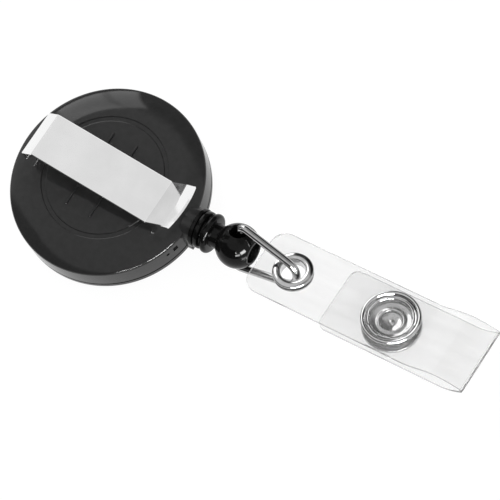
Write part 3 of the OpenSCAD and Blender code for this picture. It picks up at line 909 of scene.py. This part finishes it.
def bow_run():
    """Points over the bow past the snap, a cosine rise, without the first."""
    return [(BOW_X0 + (BOW_X1 - BOW_X0) * k / BOW_STEPS, BOW_H * (1 - math.cos(math.pi * k / BOW_STEPS)) / 2)
            for k in range(1, BOW_STEPS + 1)]


def dive(x1, n0, end, count=10):
    """Points that leave a level stretch at (x1, n0) and steepen to the crease, without the first."""
    return [(x1 + (end[0] - x1) * k / count, n0 + (end[1] - n0) * (1 - math.cos(math.pi / 2 * k / count)))
            for k in range(1, count + 1)]


def strap_path():
    """Side line of the strap: flat, a bow past the snap, a tight crease, then back under as the flap."""
    pts = [(STRAP_X0 + CORNER * (1 - math.cos(math.radians(a))), 0) for a in range(0, 91, 10)]
    pts += level_run(pts[-1][0], BOW_X0, 0, 34)
    pts += bow_run()
    crease = arc(FOLD_X, CREASE_N, CREASE_R, CREASE_UP, CREASE_DOWN, 12)
    pts += dive(BOW_X1, BOW_H, crease[0])
    pts += crease[1:]
    pts += dive(FLAP_X1, -FOLD_GAP, crease[-1])[-2::-1] + [(FLAP_X1, -FOLD_GAP)]
    pts += level_run(FLAP_X1, FLAP_X0 + FLAP_CORNER, -FOLD_GAP, 22)
    pts += [(FLAP_X0 + FLAP_CORNER * (1 - math.sin(math.radians(a))), -FOLD_GAP) for a in range(10, 91, 10)]
    return pts


def on_strap(x, n):
    """Place of a part that sits on the strap, n above its middle surface."""
    return STRAP_FRAME @ Matrix.Translation((x, 0, n))


def make_strap():
    path = strap_path()
    obj = strip("vinyl_strap", path, strap_half, STRAP_T, STRAP_FRAME, 16, 0.08)
    cut(obj, rod_cutter(EYELET_HOLE_R, -1, 1, on_strap(EYELET_X, 0)))
    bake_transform(obj)
    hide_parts("strap_leg", "strap_flap")
    dress(obj, "clear_vinyl")
    # The second material paints shade on the cut edges.
    obj.data.materials.append(MATS["vinyl_edge_shade"])
    mark_edges(obj)


def mark_edges(obj):
    """The cut edges of the vinyl get their own material, a darker tint of painted shade for the light that
    bends away through them.
    """
    inverse = STRAP_FRAME.inverted()
    for f in obj.data.polygons:
        n = inverse.to_3x3() @ f.normal
        c = inverse @ (f.center / MM)
        long_edge = abs(n.y) > 0.8
        end_edge = abs(n.x) > 0.5 and c.x < STRAP_X1 - 3
        f.material_index = 1 if long_edge or end_edge else 0


# ---------------------------------------------------------------- eyelet and snap

EYELET_R = 1.95
ROLL_R = 0.3
RING_R = 3.25
VALLEY_R = 3.7
CRIMPS = 5
CRIMP_HALF = 20
CRIMP_START = 30


def make_eyelet():
    """Rolled eyelet: a barrel through the strap, a round flange above and a flat one below."""
    t = STRAP_T / 2
    profile = [(EYELET_R, -t - 0.6), (2.6, -t - 0.6), (2.72, -t - 0.52), (2.75, -t - 0.3), (2.25, -t - 0.3)]
    profile += [(2.25, t), (3.1, t)]
    profile += arc(2.95, t + ROLL_R, ROLL_R, -60, 60, 8)
    profile += [(2.75, t + 0.62), (2.5, t + 0.66), (2.3, t + 0.62)]
    profile += arc(2.25, t + ROLL_R, ROLL_R, 110, 180, 6)
    obj = lathe("eyelet_ring", profile, on_strap(EYELET_X, 0), "strap", 96, 50)
    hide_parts("eyelet")
    dress(obj, "snap_metal")


def ring_profile():
    """Rolled prong ring of the snap: wide outer bead, a valley and a narrow inner bead."""
    out = [(RING_R, 0), (4.55, 0)]
    out += arc(4.37, 0.36, 0.36, -60, 150, 12)
    out += [(3.93, 0.3), (3.86, 0.2), (3.76, 0.2)]
    out += arc(3.48, 0.28, 0.22, 30, 190, 8)
    return out


def crimp_cutters(place):
    """Curved rods that leave dark slots where the prongs come through the ring's valley."""
    rods = []
    for i in range(CRIMPS):
        mid = 360 * i / CRIMPS + CRIMP_START
        path = [(x, y, 0.42) for x, y in arc(0, 0, VALLEY_R, mid - CRIMP_HALF, mid + CRIMP_HALF, 10)]
        rods.append(tube("cutter", path, 0.26, place, None, 12))
    return rods


def make_ring(name, place, body, node):
    obj = lathe(name, ring_profile(), place, None, 96, 50)
    cut(obj, *crimp_cutters(place))
    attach(obj, body)
    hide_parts(node)
    dress(obj, "snap_metal")


def make_rings():
    far = on_strap(SNAP_X, -STRAP_T / 2 - FOLD_GAP) @ Matrix.Rotation(math.pi, 4, "X")
    make_ring("snap_ring_near", on_strap(SNAP_X, STRAP_T / 2), "strap", "snap_stud_ring")
    make_ring("snap_ring_far", far, "flap", "snap_socket_ring")


def make_stud():
    """Pressed stud: flange under the strap, a raised ring round the hollow and a dimple in its floor."""
    profile = [(0, -0.85), (1.75, -0.85), (1.88, -0.78), (1.9, -0.65), (1.9, -0.28)]
    profile += [(RING_R, -0.28), (RING_R, 0), (2.9, -0.02), (2.55, -0.13), (2.25, -0.13), (2.1, -0.02)]
    profile += [(1.95, 0), (1.8, -0.05), (1.7, -0.2), (1.64, -0.55), (1.5, -0.63)]
    profile += [(0.5, -0.63), (0.42, -0.5), (0.3, -0.42), (0, -0.4)]
    obj = lathe("snap_stud_body", profile, on_strap(SNAP_X, -STRAP_T / 2), "strap", 96, 40)
    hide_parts("snap_stud")
    dress(obj, "snap_metal")


# ---------------------------------------------------------------- build


def dress_frame():
    """Gives every CAD node that is still shown its own finish."""
    for part in frame["record"]["subparts"]:
        obj = frame["nodes"][part["node"]]
        if not obj.hide_render:
            dress(obj, part["material_slot"])


MATS = make_materials()
make_camera()
make_cord()
make_world()
make_floor()
make_lights()
make_back()
make_front()
make_bush()
make_clip()
make_fitting()
make_link()
make_strap()
make_eyelet()
make_rings()
make_stud()
dress_frame()
